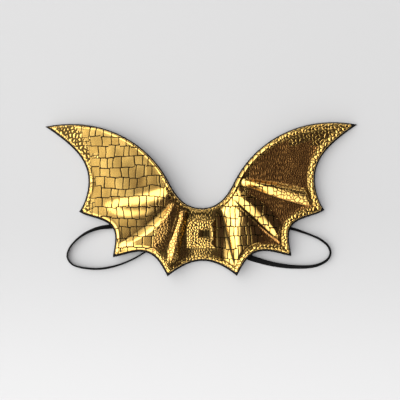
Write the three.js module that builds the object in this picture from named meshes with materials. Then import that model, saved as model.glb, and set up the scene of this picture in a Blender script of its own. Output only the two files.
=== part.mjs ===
// Costume wings for a small pet, lying face up: a padded, ribbed bat-wing cover sewn to a cloth back,
// and two flat elastic leg loops whose ends are held under a patch on the back.
// Millimetres. +X runs from wing tip to wing tip, +Y towards the tips, +Z out of the front.
import * as THREE from 'three';

// Half outline, mirrored about X = 0. Each row is a cusp of the lower edge and the scallop that leads from it
// to the next cusp inwards: its depth, where along it the deepest point lies, and how flared its ends are.
const CUSPS = {
  tip: { x: 113, y: 53.5, depth: 16.6, deepest: 0.57, flare: 0.77 },
  outer: { x: 88.7, y: -8, depth: 12.4, deepest: 0.57, flare: 1.12 },
  middle: { x: 64.3, y: -41.1, depth: 11.2, deepest: 0.545, flare: 1 },
  inner: { x: 24.9, y: -55.2, depth: 10.9, deepest: 0.5, flare: 0.9 },
};

// The upper edge: a round neck that turns at the shoulder into the long back of the wing.
const NECK_BOTTOM = new THREE.Vector2(0, -6.2);
const NECK_HANDLE = new THREE.Vector2(12.2, -6.2);
const SHOULDER_BELOW = new THREE.Vector2(18.3, 2.2);
const SHOULDER = new THREE.Vector2(23.2, 12);
const SHOULDER_ABOVE = new THREE.Vector2(37.6, 41);
const TIP_HANDLE = new THREE.Vector2(71.1, 61.3);

// Lines that fan out from the neck to the cusps, along which the sheets are cut into facets. root is the
// distance along the upper edge from the middle of the neck, and via holds two places on the line.
const FAN_LINES = [
  { cusp: 'inner', root: 14.5, via: [[15.9, -8.1], [23.7, -50.2]] },
  { cusp: 'middle', root: 20.5, via: [[23.4, -4.5], [59.4, -36.6]] },
  { cusp: 'outer', root: 30, via: [[28.5, 8.8], [77.4, -7.4]] },
];

// Padded ribs: places of the crest at its root, its middle and its end, its height, and the widths of its two
// walls at those places. tip is the wall on the wing tip's side, and middle the one on the other side.
const RIBS = [
  { crest: [[-21, 5], [-40, -4.2], [-64, -4.8]], height: 2.1, tip: [7, 11, 6], middle: [6, 8, 6] },
  { crest: [[-20, -4.4], [-33.2, -20.4], [-54.2, -32.2]], height: 2.8, tip: [3.6, 5.6, 3],
    middle: [5, 16, 14] },
  { crest: [[-12.7, -8.9], [-16.7, -25.3], [-20.7, -42.1]], height: 3.6, tip: [4.2, 5.6, 4.2],
    middle: [3, 3.8, 3.4] },
  { crest: [[33, 12.4], [58, 7.2], [86, 0.6]], height: 4.6, tip: [2.5, 5, 5], middle: [3.5, 7.4, 8.5] },
  { crest: [[25.8, 2.4], [43.3, -10.2], [55.2, -27.9]], height: 2.6, tip: [5, 8, 5], middle: [4, 7, 2.6] },
  { crest: [[19.4, -6.8], [23.8, -26], [25.6, -46.7]], height: 1.6, tip: [8, 17, 11],
    middle: [5.5, 5.5, 2.4] },
];
const RIB_THINNING = 0.3;
const CREST_STEPS = 40;

// Thickness of the padded cover from its edge inwards: a rolled rim, a stitched groove, then the panel.
const EDGE_THICKNESS = 1;
const RIM_WIDTH = 4;
const RIM_ROLL = 1.1;
const GROOVE_THICKNESS = 1.9;
const PANEL_THICKNESS = 2.6;
const PANEL_RISE = 4;

// Stitched square in the middle of the front.
const BOX_CENTRE = new THREE.Vector2(0, -24.7);
const BOX_HALF = 10;
const BOX_INNER_HALF = 4.5;
const BOX_PUFF = 0.9;
const BOX_DENT = 1.2;
const BOX_SEAM_DEPTH = 0.8;
const BOX_SEAM_HALF = 1.4;

// The cloth back reaches past the cover all round, and the cover lies on it with a small gap.
const BACK_THICKNESS = 1;
const BACK_MARGIN = 0.8;
const GAP = 0.3;

// The wings lie low at the patch, are propped up over the loops, and come down to the surface at the tips.
// The two values of a reach are the distances from the middle where the rise starts and where it is complete.
const PROP_LIFT = 6.9;
const PROP_REACH = { left: [6, 24], right: [14.5, 28] };
const DROOP_POWER = 1.25;

// Patch on the back: a flat square whose upper and lower edges turn up to the cloth, open to both sides.
const PATCH_SIDE = 24;
const PATCH_THICKNESS = 1.2;
const PATCH_EDGE = 1.4;

// Flat elastic of the leg loops.
const ELASTIC_WIDTH = 4.2;
const ELASTIC_THICKNESS = 1.1;
const ELASTIC_STEPS = 46;
const ELASTIC_CURVE_SEGMENTS = 4;
const FLOOR_GAP = 0.05;
const PATCH_LIFT = PATCH_THICKNESS + GAP;

// Routes of the loops, from the patch out and back: place, turn of the band in degrees (0 lies flat and
// 90 stands on edge), and how high its lower edge is above the surface.
const ROUTE_COLUMNS = ['x', 'y', 'turn', 'lift'];
const LEFT_ROUTE = [
  [-3, -20, 0, PATCH_LIFT], [-12, -20, 0, PATCH_LIFT], [-22, -19.6, 5, 0.9], [-34, -18.8, 15, 0.3],
  [-46, -18.3, 28, 0], [-56, -18.4, 40, 0], [-66.2, -19.1, 47, 0], [-74.8, -20.2, 60, 0],
  [-83.5, -23.5, 70, 0], [-90.7, -28.5, 78, 0], [-95.8, -34.4, 80, 0], [-97.6, -40.6, 81, 0],
  [-94.6, -45.8, 80, 0], [-88, -48.5, 77, 0], [-76.5, -49.7, 75, 0], [-66.4, -48.5, 76, 0],
  [-57.7, -46, 81, 0], [-49.1, -42.3, 84, 0], [-41.4, -37.9, 84, 0], [-32, -32.8, 68, 0],
  [-22, -29.7, 15, 0.6], [-12, -28.8, 0, PATCH_LIFT], [-3, -28.8, 0, PATCH_LIFT],
];
const RIGHT_ROUTE = [
  [3, -29.4, 0, PATCH_LIFT], [12, -29.8, 0, PATCH_LIFT], [22, -35, 0, 0.6], [33, -41.6, 12, 0],
  [41.6, -44.6, 26, 0], [48.8, -46.6, 36, 0], [56.5, -48.1, 44, 0], [65, -49.1, 51, 0],
  [73.5, -49.3, 57, 0], [80.7, -48.7, 61, 0], [86.5, -46.8, 65, 0], [90.8, -43.9, 69, 0],
  [92.7, -40.3, 72, 0], [92.4, -36.7, 73, 0], [90, -32.9, 74, 0], [85, -29.1, 75, 0],
  [79.2, -26.4, 78, 0], [72, -23.7, 74, 0], [65, -21.5, 66, 0], [55, -19.4, 54, 0],
  [44, -18.1, 38, 0], [32, -17.9, 20, 0.3], [22, -18.6, 5, 0.9], [12, -19.6, 0, PATCH_LIFT],
  [3, -19.8, 0, PATCH_LIFT],
];

// Where the sheets are cut into facets: distances of the rows from the edge, and shares of a panel's width.
const EDGE_ROWS = [0, 2, 3.2, 4.4, 6.5, 10, 14];
const ROW_COUNT = 2 * EDGE_ROWS.length;
const MIDDLE_COLUMNS = [0, 0.2, 0.38, 0.5, 0.7, 0.86];
const PANEL_COLUMNS = [0, 0.1, 0.22, 0.4, 0.6, 0.78, 0.9];
const TIP_COLUMNS = [0, 0.06, 0.14, 0.25, 0.37, 0.5, 0.62, 0.74, 0.85, 0.94];

const MATERIALS = {
  gold: new THREE.MeshStandardMaterial({ color: 0xc79a3f, roughness: 0.32, metalness: 0.9 }),
  cloth: new THREE.MeshStandardMaterial({ color: 0x17161a, roughness: 0.95, metalness: 0 }),
  patch: new THREE.MeshStandardMaterial({ color: 0x1d1c20, roughness: 0.9, metalness: 0 }),
  elastic: new THREE.MeshStandardMaterial({ color: 0x121214, roughness: 0.8, metalness: 0 }),
};

const { clamp, lerp, smoothstep, degToRad } = THREE.MathUtils;

// A concave edge between two points: a sine arch on the chord, skewed so that it is deepest where asked.
class ScallopCurve extends THREE.Curve {
  constructor(start, end, shape) {
    super();
    this.start = start;
    this.chord = end.clone().sub(start);
    this.inward = new THREE.Vector2(this.chord.y, -this.chord.x).normalize();
    this.depth = shape.depth;
    this.skew = Math.log(0.5) / Math.log(shape.deepest);
    this.flare = shape.flare;
  }

  getPoint(share, target = new THREE.Vector2()) {
    const arch = Math.max(0, Math.sin(Math.PI * share ** this.skew)) ** this.flare;
    target.copy(this.start).addScaledVector(this.chord, share);
    return target.addScaledVector(this.inward, this.depth * arch);
  }
}

function cuspPoint(name) {
  return new THREE.Vector2(CUSPS[name].x, CUSPS[name].y);
}

function upperEdge() {
  const edge = new THREE.CurvePath();
  edge.add(new THREE.CubicBezierCurve(NECK_BOTTOM, NECK_HANDLE, SHOULDER_BELOW, SHOULDER));
  edge.add(new THREE.CubicBezierCurve(SHOULDER, SHOULDER_ABOVE, TIP_HANDLE, cuspPoint('tip')));
  return edge;
}

// A panel of the half outline lies between two fold lines, a stretch of the upper edge and a scallop.
// Its columns fill the four sides evenly (a Coons patch), and each column is a function of the row share.
function panelColumns(panel, shares) {
  const { innerLine, outerLine, upper, lower } = panel;
  return shares.map((across) => (down) => {
    const point = upper(across).multiplyScalar(1 - down).addScaledVector(lower(across), down);
    point.addScaledVector(innerLine(down), 1 - across).addScaledVector(outerLine(down), across);
    point.addScaledVector(upper(0), -(1 - across) * (1 - down));
    point.addScaledVector(upper(1), -across * (1 - down));
    return point.addScaledVector(lower(0), -(1 - across) * down).addScaledVector(lower(1), -across * down);
  });
}

// Columns of the right half, from the middle of the neck out to the wing tip.
function halfColumns() {
  const edge = upperEdge();
  const edgeLength = edge.getLength();
  const upperPart = (from, to) => (share) => edge.getPointAt(lerp(from, to, share) / edgeLength);
  const fanLine = ({ cusp, root, via }) => {
    const between = via.map((place) => new THREE.Vector2(...place));
    const line = new THREE.SplineCurve([edge.getPointAt(root / edgeLength), ...between, cuspPoint(cusp)]);
    return (share) => line.getPointAt(share);
  };
  const mirroredInner = new THREE.Vector2(-CUSPS.inner.x, CUSPS.inner.y);
  const middleScallop = new ScallopCurve(cuspPoint('inner'), mirroredInner, CUSPS.inner);
  const middleLow = middleScallop.getPoint(0.5);
  const columns = panelColumns({
    innerLine: (share) => NECK_BOTTOM.clone().lerp(middleLow, share),
    outerLine: fanLine(FAN_LINES[0]),
    upper: upperPart(0, FAN_LINES[0].root),
    lower: (share) => middleScallop.getPoint(0.5 * (1 - share)),
  }, MIDDLE_COLUMNS);
  FAN_LINES.forEach((fan, index) => {
    const next = FAN_LINES[index + 1];
    const outerName = next ? next.cusp : 'tip';
    const scallop = new ScallopCurve(cuspPoint(outerName), cuspPoint(fan.cusp), CUSPS[outerName]);
    columns.push(...panelColumns({
      innerLine: fanLine(fan),
      outerLine: next ? fanLine(next) : () => cuspPoint('tip'),
      upper: upperPart(fan.root, next ? next.root : edgeLength),
      lower: (share) => scallop.getPoint(1 - share),
    }, next ? PANEL_COLUMNS : TIP_COLUMNS));
  });
  return columns;
}

// Row places along one column: at fixed distances from both edges, or evenly where the column is short.
function rowShares(column) {
  const length = column(0).distanceTo(column(1));
  const half = EDGE_ROWS.map((distance, index) => Math.min(distance / length, index / ROW_COUNT));
  return [...half, 0.5, ...half.toReversed().map((share) => 1 - share)];
}

// Grid of flat points, column by column from the left tip to the right tip. A tip is a column of one point.
function flatGrid() {
  const right = halfColumns().map((column) => rowShares(column).map((share) => column(share)));
  const left = right.slice(1).toReversed();
  const mirrored = left.map((points) => points.map((point) => new THREE.Vector2(-point.x, point.y)));
  const tip = cuspPoint('tip');
  return [[new THREE.Vector2(-tip.x, tip.y)], ...mirrored, ...right, [tip]];
}

// The closed outline of a grid: along the upper edge to the right, then back along the lower edge.
function gridOutline(grid) {
  const upper = grid.map((column) => column[0]);
  const lower = grid.slice(1, -1).map((column) => column.at(-1)).toReversed();
  return [...upper, ...lower];
}

// Moves the points of a grid's outline inwards by an equal margin, with mitred corners.
function insetGrid(grid, margin) {
  const outline = gridOutline(grid);
  const original = outline.map((point) => point.clone());
  const inwardNormal = (from, to) => new THREE.Vector2(to.y - from.y, from.x - to.x).normalize();
  outline.forEach((point, index) => {
    const before = original.at(index - 1);
    const after = original[(index + 1) % original.length];
    const sideNormal = inwardNormal(before, original[index]);
    const mitre = sideNormal.clone().add(inwardNormal(original[index], after)).normalize();
    point.addScaledVector(mitre, margin / mitre.dot(sideNormal));
  });
  return grid;
}

function segmentDistance(point, from, to) {
  const run = to.clone().sub(from);
  const offset = point.clone().sub(from);
  const share = clamp(offset.dot(run) / run.lengthSq(), 0, 1);
  return offset.addScaledVector(run, -share).length();
}

function outlineDistance(point, outline) {
  const next = (index) => outline[(index + 1) % outline.length];
  return Math.min(...outline.map((corner, index) => segmentDistance(point, corner, next(index))));
}

// Height of the underside of the cloth back above the surface that the wings lie on.
function wingLift(x) {
  const reach = Math.abs(x);
  const [start, end] = x < 0 ? PROP_REACH.left : PROP_REACH.right;
  const low = PATCH_LIFT + ELASTIC_THICKNESS + GAP;
  const droop = clamp((reach - end) / (CUSPS.tip.x - end), 0, 1) ** DROOP_POWER;
  return lerp(low, PROP_LIFT, smoothstep(reach, start, end)) - PROP_LIFT * droop;
}

// An arc through three places, and the smooth change of a width through its values at those places.
function arcThrough(places) {
  const [root, middle, end] = places.map((place) => new THREE.Vector2(...place));
  const handle = middle.clone().multiplyScalar(2).addScaledVector(root, -0.5).addScaledVector(end, -0.5);
  return new THREE.QuadraticBezierCurve(root, handle, end);
}

function widthAt(widths, share) {
  return arcThrough(widths.map((width, index) => [index, width])).getPoint(share).y;
}

// One rib's height above its panel: a crest that gets lower towards its end, with a wall on each side.
function ribHeight(rib, point) {
  const arc = arcThrough(rib.crest);
  const crest = arc.getPoints(CREST_STEPS);
  const gaps = crest.map((place) => place.distanceTo(point));
  const gap = Math.min(...gaps);
  const nearest = gaps.indexOf(gap);
  const share = nearest / CREST_STEPS;
  const turn = arc.getTangent(share).cross(point.clone().sub(crest[nearest]));
  const onTipSide = turn * Math.sign(point.x) > 0;
  const width = widthAt(onTipSide ? rib.tip : rib.middle, share);
  return rib.height * (1 - RIB_THINNING * share) * (1 - smoothstep(gap, 0, width));
}

// Stitched square: a sunk seam round it, a puffed ring inside, and a dent in the middle.
function boxHeight(point) {
  const reach = Math.max(Math.abs(point.x - BOX_CENTRE.x), Math.abs(point.y - BOX_CENTRE.y));
  const seam = 1 - smoothstep(Math.abs(reach - BOX_HALF), 0, BOX_SEAM_HALF);
  const ring = clamp((reach - BOX_INNER_HALF) / (BOX_HALF - BOX_INNER_HALF), 0, 1);
  const dent = 1 - smoothstep(reach, 0, BOX_INNER_HALF);
  return BOX_PUFF * Math.sin(Math.PI * ring) - BOX_SEAM_DEPTH * seam - BOX_DENT * dent;
}

// Thickness of the padded cover at a point.
function coverThickness(point, edgeDistance) {
  const rimShare = clamp(edgeDistance / RIM_WIDTH, 0, 1);
  const rim = lerp(EDGE_THICKNESS, GROOVE_THICKNESS, rimShare) + RIM_ROLL * Math.sin(Math.PI * rimShare);
  const inside = smoothstep(edgeDistance, RIM_WIDTH, RIM_WIDTH + PANEL_RISE);
  const ribs = RIBS.reduce((highest, rib) => Math.max(highest, ribHeight(rib, point)), 0);
  return rim + inside * (PANEL_THICKNESS - GROOVE_THICKNESS + boxHeight(point) + ribs);
}

// Closed sheet over a grid: a lower and an upper height at each point, with faces on both sides and a wall.
function sheetGeometry(grid, lowerHeight, upperHeight) {
  const positions = [];
  const number = grid.map((column) => column.map((point) => {
    positions.push(point.x, point.y, lowerHeight(point), point.x, point.y, upperHeight(point));
    return positions.length / 6 - 1;
  }));
  const lower = (column, row) => 2 * number[column][Math.min(row, number[column].length - 1)];
  const upper = (column, row) => lower(column, row) + 1;
  const triangles = [];
  const addTriangle = (a, b, c) => {
    if (a !== b && b !== c && c !== a) triangles.push(a, b, c);
  };
  const addQuad = (a, b, c, d) => {
    addTriangle(a, b, c);
    addTriangle(a, c, d);
  };
  for (let column = 0; column + 1 < grid.length; column++) {
    const next = column + 1;
    for (let row = 0; row < ROW_COUNT; row++) {
      addQuad(upper(column, row), upper(column, row + 1), upper(next, row + 1), upper(next, row));
      addQuad(lower(column, row), lower(next, row), lower(next, row + 1), lower(column, row + 1));
    }
    addQuad(lower(column, 0), upper(column, 0), upper(next, 0), lower(next, 0));
    const last = ROW_COUNT;
    addQuad(lower(next, last), upper(next, last), upper(column, last), lower(column, last));
  }
  const geometry = new THREE.BufferGeometry();
  geometry.setAttribute('position', new THREE.Float32BufferAttribute(positions, 3));
  geometry.setIndex(triangles);
  geometry.computeVertexNormals();
  return geometry;
}

function backGeometry() {
  const underside = (point) => wingLift(point.x);
  return sheetGeometry(flatGrid(), underside, (point) => underside(point) + BACK_THICKNESS);
}

function coverGeometry() {
  const grid = insetGrid(flatGrid(), BACK_MARGIN);
  const outline = gridOutline(grid);
  const underside = (point) => wingLift(point.x) + BACK_THICKNESS + GAP;
  const top = (point) => underside(point) + coverThickness(point, outlineDistance(point, outline));
  return sheetGeometry(grid, underside, top);
}

// The patch is a shallow channel along X: a flat plate with both long edges turned up to the cloth.
function patchGeometry() {
  const half = PATCH_SIDE / 2;
  const inner = half - PATCH_EDGE;
  const edgeTop = wingLift(0) - GAP;
  const section = new THREE.Shape([
    new THREE.Vector2(-half, 0), new THREE.Vector2(half, 0), new THREE.Vector2(half, edgeTop),
    new THREE.Vector2(inner, edgeTop), new THREE.Vector2(inner, PATCH_THICKNESS),
    new THREE.Vector2(-inner, PATCH_THICKNESS), new THREE.Vector2(-inner, edgeTop),
    new THREE.Vector2(-half, edgeTop),
  ]);
  const geometry = new THREE.ExtrudeGeometry(section, { depth: PATCH_SIDE, bevelEnabled: false });
  geometry.translate(0, 0, -half);
  geometry.rotateX(Math.PI / 2);
  geometry.rotateZ(Math.PI / 2);
  return geometry;
}

// Flat elastic: a straight flat-oval strip, laid along its route with the band turned as the route says.
function elasticGeometry(route) {
  const named = (values) => Object.fromEntries(ROUTE_COLUMNS.map((name, index) => [name, values[index]]));
  const rows = route.map(named);
  const halfHeight = (turn) => (ELASTIC_WIDTH * Math.sin(turn) + ELASTIC_THICKNESS * Math.cos(turn)) / 2;
  const turns = rows.map((row) => degToRad(row.turn));
  const points = rows.map((row, index) => (
    new THREE.Vector3(row.x, row.y, row.lift + halfHeight(turns[index]) + FLOOR_GAP)));
  const path = new THREE.CatmullRomCurve3(points);
  const section = new THREE.Shape();
  section.absellipse(0, 0, ELASTIC_WIDTH / 2, ELASTIC_THICKNESS / 2, 0, 2 * Math.PI);
  const geometry = new THREE.ExtrudeGeometry(section, {
    depth: 1, steps: ELASTIC_STEPS, curveSegments: ELASTIC_CURVE_SEGMENTS, bevelEnabled: false,
  });
  const up = new THREE.Vector3(0, 0, 1);
  const corner = geometry.getAttribute('position');
  for (let index = 0; index < corner.count; index++) {
    const share = corner.getZ(index);
    const place = share * (rows.length - 1);
    const row = Math.min(Math.floor(place), rows.length - 2);
    const turn = lerp(turns[row], turns[row + 1], place - row);
    const along = path.getTangent(share);
    const side = new THREE.Vector3().crossVectors(up, along).normalize();
    const across = side.clone().applyAxisAngle(along, turn);
    const out = new THREE.Vector3().crossVectors(along, across);
    const laid = path.getPoint(share).addScaledVector(across, corner.getX(index));
    laid.addScaledVector(out, corner.getY(index));
    corner.setXYZ(index, laid.x, laid.y, laid.z);
  }
  return geometry;
}

function piece(name, geometry, material) {
  const mesh = new THREE.Mesh(geometry, material);
  mesh.name = name;
  return mesh;
}

const patch = piece('strap_patch', patchGeometry(), MATERIALS.patch);
patch.position.y = BOX_CENTRE.y;

const wings = new THREE.Group();
wings.add(
  piece('front_cover', coverGeometry(), MATERIALS.gold),
  piece('back_cover', backGeometry(), MATERIALS.cloth),
  patch,
  piece('leg_loop_left', elasticGeometry(LEFT_ROUTE), MATERIALS.elastic),
  piece('leg_loop_right', elasticGeometry(RIGHT_ROUTE), MATERIALS.elastic),
);

export default wings;
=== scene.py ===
# %% [markdown]
# # Costume wings
# These are small costume wings for a pet, cut in one piece like the wings of a bat. A padded front of gold
# foil leather is sewn to a black cloth back, and two loops of flat black elastic go round the front legs.
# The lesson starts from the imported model, which says where each piece is, and gives every piece its surface.

import math

import bpy
import numpy as np
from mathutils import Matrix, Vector, kdtree, noise
from mathutils.geometry import delaunay_2d_cdt


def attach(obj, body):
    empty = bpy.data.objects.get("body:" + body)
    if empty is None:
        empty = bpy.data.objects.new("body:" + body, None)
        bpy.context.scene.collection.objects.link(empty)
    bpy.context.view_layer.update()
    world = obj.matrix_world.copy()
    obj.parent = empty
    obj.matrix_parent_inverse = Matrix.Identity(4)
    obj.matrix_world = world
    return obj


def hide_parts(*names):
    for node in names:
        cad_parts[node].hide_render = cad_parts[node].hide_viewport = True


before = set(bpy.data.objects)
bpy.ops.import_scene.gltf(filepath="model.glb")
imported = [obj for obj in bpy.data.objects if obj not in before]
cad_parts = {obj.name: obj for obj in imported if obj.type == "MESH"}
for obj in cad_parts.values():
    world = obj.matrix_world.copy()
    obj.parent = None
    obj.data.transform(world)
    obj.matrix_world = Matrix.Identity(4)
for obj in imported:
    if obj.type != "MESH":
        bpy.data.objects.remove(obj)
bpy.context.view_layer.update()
MM = 0.001
print("nodes:", sorted(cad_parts))

# %% [markdown]
# ## The camera
# The wings lie on a table and are seen from straight above. A long lens some way up keeps the edges square,
# and its height follows from the width of table that fills the picture.

# %% Place the camera
SEEN_WIDTH = 288.0
SEEN_CENTRE = (-1.26, -0.34)
SEEN_HEIGHT = 6.0
CAMERA_TURN = -0.39
LENS = 100.0
SENSOR = 36.0

lens = bpy.data.cameras.new("photo_lens")
lens.lens = LENS
lens.sensor_width = SENSOR
camera = bpy.data.objects.new("photo_camera", lens)
camera_height = SEEN_HEIGHT + SEEN_WIDTH * LENS / SENSOR
camera.location = Vector((*SEEN_CENTRE, camera_height)) * MM
camera.rotation_euler = (0, 0, math.radians(CAMERA_TURN))
bpy.context.scene.collection.objects.link(camera)
bpy.context.scene.camera = camera
print("camera height in mm:", round(camera_height))

# %% [markdown]
# ## The outline
# One outline drives both covers. The right half is two Bezier curves for the neck notch and the upper edge,
# then scallops that hang between the points of the wing. A scallop is a sine arch on its chord, with its
# deepest place moved along and its flanks made fuller or sharper. The left half is a mirror of the right.

# %% Draw the outline
NECK = [(0, -6.2), (12.2, -6.2), (18.3, 2.2), (23.2, 12)]
UPPER_EDGE = [(23.2, 12), (37.6, 41), (71.1, 61.3), (113, 53.5)]
# Each point of the wing, with the depth, the deepest place and the flare of the scallop that follows it.
POINTS = [
    ((113, 53.5), 16.6, 0.57, 0.77),
    ((88.7, -8), 12.4, 0.57, 1.12),
    ((64.3, -41.1), 11.2, 0.545, 1.0),
    ((24.9, -55.2), 10.9, 0.5, 0.9),
]
FINE = 400
OUTLINE_STEP = 0.5


def bezier(handles):
    a, b, c, d = np.array(handles, float)
    t = np.linspace(0, 1, FINE)[:, None]
    return (1 - t) ** 3 * a + 3 * (1 - t) ** 2 * t * b + 3 * (1 - t) * t**2 * c + t**3 * d


def scallop(start, end, depth, deepest, flare):
    start, end = np.array(start, float), np.array(end, float)
    chord = end - start
    inward = np.array((chord[1], -chord[0])) / np.linalg.norm(chord)
    share = np.linspace(0, 1, FINE)
    arch = np.sin(np.pi * share ** (math.log(0.5) / math.log(deepest)))
    return start + share[:, None] * chord + (depth * np.clip(arch, 0, 1) ** flare)[:, None] * inward


def even(line, step):
    """Points at even steps along a line, without its last point."""
    line = np.asarray(line, float)
    run = np.concatenate([[0], np.cumsum(np.linalg.norm(np.diff(line, axis=0), axis=1))])
    places = np.linspace(0, run[-1], max(2, round(run[-1] / step)), endpoint=False)
    return np.stack([np.interp(places, run, column) for column in line.T], axis=1)


def wing_outline(step):
    """The whole outline, anticlockwise."""
    last = POINTS[-1][0]
    ends = [point for point, *_ in POINTS[1:]] + [(-last[0], last[1])]
    lines = [bezier(NECK), bezier(UPPER_EDGE)]
    lines += [scallop(start, end, *arch) for (start, *arch), end in zip(POINTS, ends)]
    lines[-1] = lines[-1][: FINE // 2]
    right = np.concatenate([even(line, step) for line in lines])
    left = right[:0:-1] * (-1, 1)
    return np.concatenate([right, left])[::-1]


outline = wing_outline(OUTLINE_STEP)
print("outline points:", len(outline), "span in mm:", np.ptp(outline, axis=0).round(1))

# %% [markdown]
# ## The leg loops
# Each leg loop is one flat elastic that leaves the patch behind the middle of the wings, runs out under the
# wing, turns round and comes back. Its route is a short list of places, each with the turn of the band on
# its edge, as it lies on the table. The band is swept along that route as a mesh, because a curve's bevel
# can't turn a flat section as freely. Elastic of this kind is braided, with a few ridges running along it,
# so the section has those ridges.

# %% Lay the routes of the elastic
BAND_STEP = 0.8
SPAN_STEPS = 24
# Each place is x, y, the turn in degrees, and the lift of the band's low edge above the table.
LEFT_ROUTE = [
    (-3, -20, 0, 1.5), (-12, -20, 0, 1.5), (-22, -19.6, 5, 0.9), (-34, -18.8, 15, 0.3),
    (-46, -18.3, 28, 0), (-56, -18.4, 40, 0), (-66.2, -19.1, 47, 0), (-74.8, -20.2, 60, 0),
    (-83.5, -23.5, 70, 0), (-90.7, -28.5, 78, 0), (-95.8, -34.4, 80, 0), (-97.6, -40.6, 81, 0),
    (-94.6, -45.8, 80, 0), (-88, -48.5, 77, 0), (-76.5, -49.7, 75, 0), (-66.4, -48.5, 76, 0),
    (-57.7, -46, 81, 0), (-49.1, -42.3, 84, 0), (-41.4, -37.9, 84, 0), (-32, -32.8, 68, 0),
    (-22, -29.7, 15, 0.6), (-12, -28.8, 0, 1.5), (-3, -28.8, 0, 1.5),
]
RIGHT_ROUTE = [
    (3, -29.4, 0, 1.5), (12, -29.8, 0, 1.5), (22, -35, 0, 0.6), (33, -41.6, 12, 0),
    (41.6, -44.6, 26, 0), (48.8, -46.6, 36, 0), (56.5, -48.1, 44, 0), (65, -49.1, 51, 0),
    (73.5, -49.3, 57, 0), (80.7, -48.7, 61, 0), (86.5, -46.8, 65, 0), (90.8, -43.9, 69, 0),
    (92.7, -40.3, 72, 0), (92.4, -36.7, 73, 0), (90, -32.9, 74, 0), (85, -29.1, 75, 0),
    (79.2, -26.4, 78, 0), (72, -23.7, 74, 0), (65, -21.5, 66, 0), (55, -19.4, 54, 0),
    (44, -18.1, 38, 0), (32, -17.9, 20, 0.3), (22, -18.6, 5, 0.9), (12, -19.6, 0, 1.5), (3, -19.8, 0, 1.5),
]


def smooth_route(route):
    """A Catmull-Rom line through the places of a route, at even steps."""
    rows = np.array(route, float)
    rows = np.concatenate([[2 * rows[0] - rows[1]], rows, [2 * rows[-1] - rows[-2]]])
    t = np.linspace(0, 1, SPAN_STEPS, endpoint=False)[:, None]
    spans = []
    for a, b, c, d in zip(rows, rows[1:], rows[2:], rows[3:]):
        curve = 2 * b + (c - a) * t + (2 * a - 5 * b + 4 * c - d) * t**2 + (3 * b - a - 3 * c + d) * t**3
        spans.append(curve / 2)
    line = np.concatenate([*spans, rows[-2:-1]])
    return np.concatenate([even(line, BAND_STEP), line[-1:]])


print("places on the two routes:", len(LEFT_ROUTE), len(RIGHT_ROUTE))

# %% Shape the section of the elastic
BAND_WIDTH = 4.2
BAND_THICKNESS = 1.1
BAND_SIDES = 44
BAND_FLATNESS = 0.45
BAND_RIDGES = 6
RIDGE_DEPTH = 0.16


def band_section():
    """The band's oval section, with small ridges on both flat sides: places across it and out of it."""
    turn = np.linspace(0, 2 * np.pi, BAND_SIDES, endpoint=False)
    across = np.cos(turn)
    flat = np.sign(np.sin(turn)) * np.abs(np.sin(turn)) ** BAND_FLATNESS
    ridge = 1 - RIDGE_DEPTH * (0.5 + 0.5 * np.cos(np.pi * BAND_RIDGES * (across + 1)))
    return np.stack([across * BAND_WIDTH / 2, flat * ridge * BAND_THICKNESS / 2], axis=1)


print("section of the elastic in mm:", np.ptp(band_section(), axis=0).round(2))

# %% Sweep the elastic
REST_GAP = 0.05


def make_piece(name, points, faces):
    """A smooth mesh object from points in millimetres."""
    mesh = bpy.data.meshes.new(name)
    mesh.from_pydata((np.asarray(points) * MM).tolist(), [], faces)
    mesh.shade_smooth()
    piece = bpy.data.objects.new(name, mesh)
    bpy.context.scene.collection.objects.link(piece)
    return piece


def lay_band_uv(piece, sides):
    """A UV map in millimetres along and across the band."""
    layer = piece.data.uv_layers.new(name="band")
    section = band_section()[:, 0]
    corners = np.empty(len(piece.data.loops), int)
    piece.data.loops.foreach_get("vertex_index", corners)
    places = np.stack([corners // sides * BAND_STEP, section[corners % sides]], axis=1)
    layer.data.foreach_set("uv", places.ravel().astype(np.float32))


def close_sweep(name, rings):
    """A closed mesh from rings of points."""
    count, sides = rings.shape[:2]
    faces = []
    for ring in range(count - 1):
        low, high = ring * sides, (ring + 1) * sides
        for k in range(sides):
            n = (k + 1) % sides
            faces.append((low + k, low + n, high + n, high + k))
    faces.append(tuple(range(sides))[::-1])
    faces.append(tuple(range((count - 1) * sides, count * sides)))
    piece = make_piece(name, rings.reshape(-1, 3), faces)
    lay_band_uv(piece, sides)
    return piece


def sweep_band(name, route):
    """The path of the band's middle, and the band swept along it."""
    rows = smooth_route(route)
    turn = np.radians(rows[:, 2])
    rise = (BAND_WIDTH * np.sin(turn) + BAND_THICKNESS * np.cos(turn)) / 2
    path = np.column_stack([rows[:, :2], rows[:, 3] + rise + REST_GAP])
    along = np.gradient(path, axis=0)
    along /= np.linalg.norm(along, axis=1)[:, None]
    side = np.cross((0.0, 0.0, 1.0), along)
    side /= np.linalg.norm(side, axis=1)[:, None]
    up = np.cross(along, side)
    across = side * np.cos(turn)[:, None] + up * np.sin(turn)[:, None]
    out = np.cross(along, across)
    section = band_section()
    rings = path[:, None] + across[:, None] * section[None, :, :1] + out[:, None] * section[None, :, 1:]
    return path, close_sweep(name, rings)


left_path, left_loop = sweep_band("elastic_left", LEFT_ROUTE)
right_path, right_loop = sweep_band("elastic_right", RIGHT_ROUTE)

# %% [markdown]
# ## The height of the padded front
# The front is thin leather over wadding. It lies low in the middle, where the patch is, rises over the
# elastic and comes down to the table at the tips. On top of that come six ribs, the stitched square, slow
# waves in the wadding and a rolled rim. Each is a small rule for a height, and the sum of them all gives the
# height at any place. Rules suit a surface like this better than sculpting, as each can be changed alone.

# %% Lift the wings over the elastic
LIFT_MIDDLE, LIFT_PROPPED = 2.9, 6.9
LEFT_PROP, RIGHT_PROP = (6.0, 24.0), (14.5, 28.0)
TIP_X = 113.0
TIP_FALL = 1.25


def smooth(value, low, high):
    share = np.clip((value - low) / (high - low), 0, 1)
    return share * share * (3 - 2 * share)


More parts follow.
